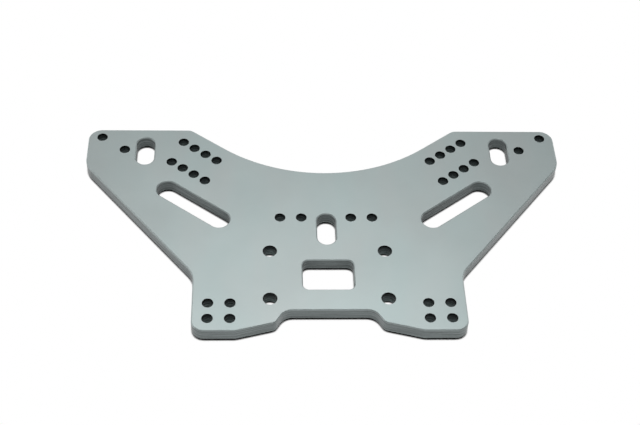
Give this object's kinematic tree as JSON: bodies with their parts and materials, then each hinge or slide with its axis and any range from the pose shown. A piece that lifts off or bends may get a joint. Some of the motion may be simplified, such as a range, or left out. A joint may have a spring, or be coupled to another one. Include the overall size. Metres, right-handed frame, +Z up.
{
  "type": "shock tower plate",
  "caption": "Flat milled aluminium plate with raised arms, slanted rows of shock holes, long slots, a window and drilled feet.",
  "frame": {"origin": "centre of the four gearbox bolts, on the underside of the plate", "axes": "+X across the car, +Y up the tower towards the arms, +Z up through the sheet as it lies flat"},
  "size_m": [0.1454, 0.0778, 0.004],
  "materials": {
    "anodised": "satin, hard anodised"
  },
  "bodies": {
    "root": {"shock_tower_plate": "anodised"}
  },
  "joints": []
}
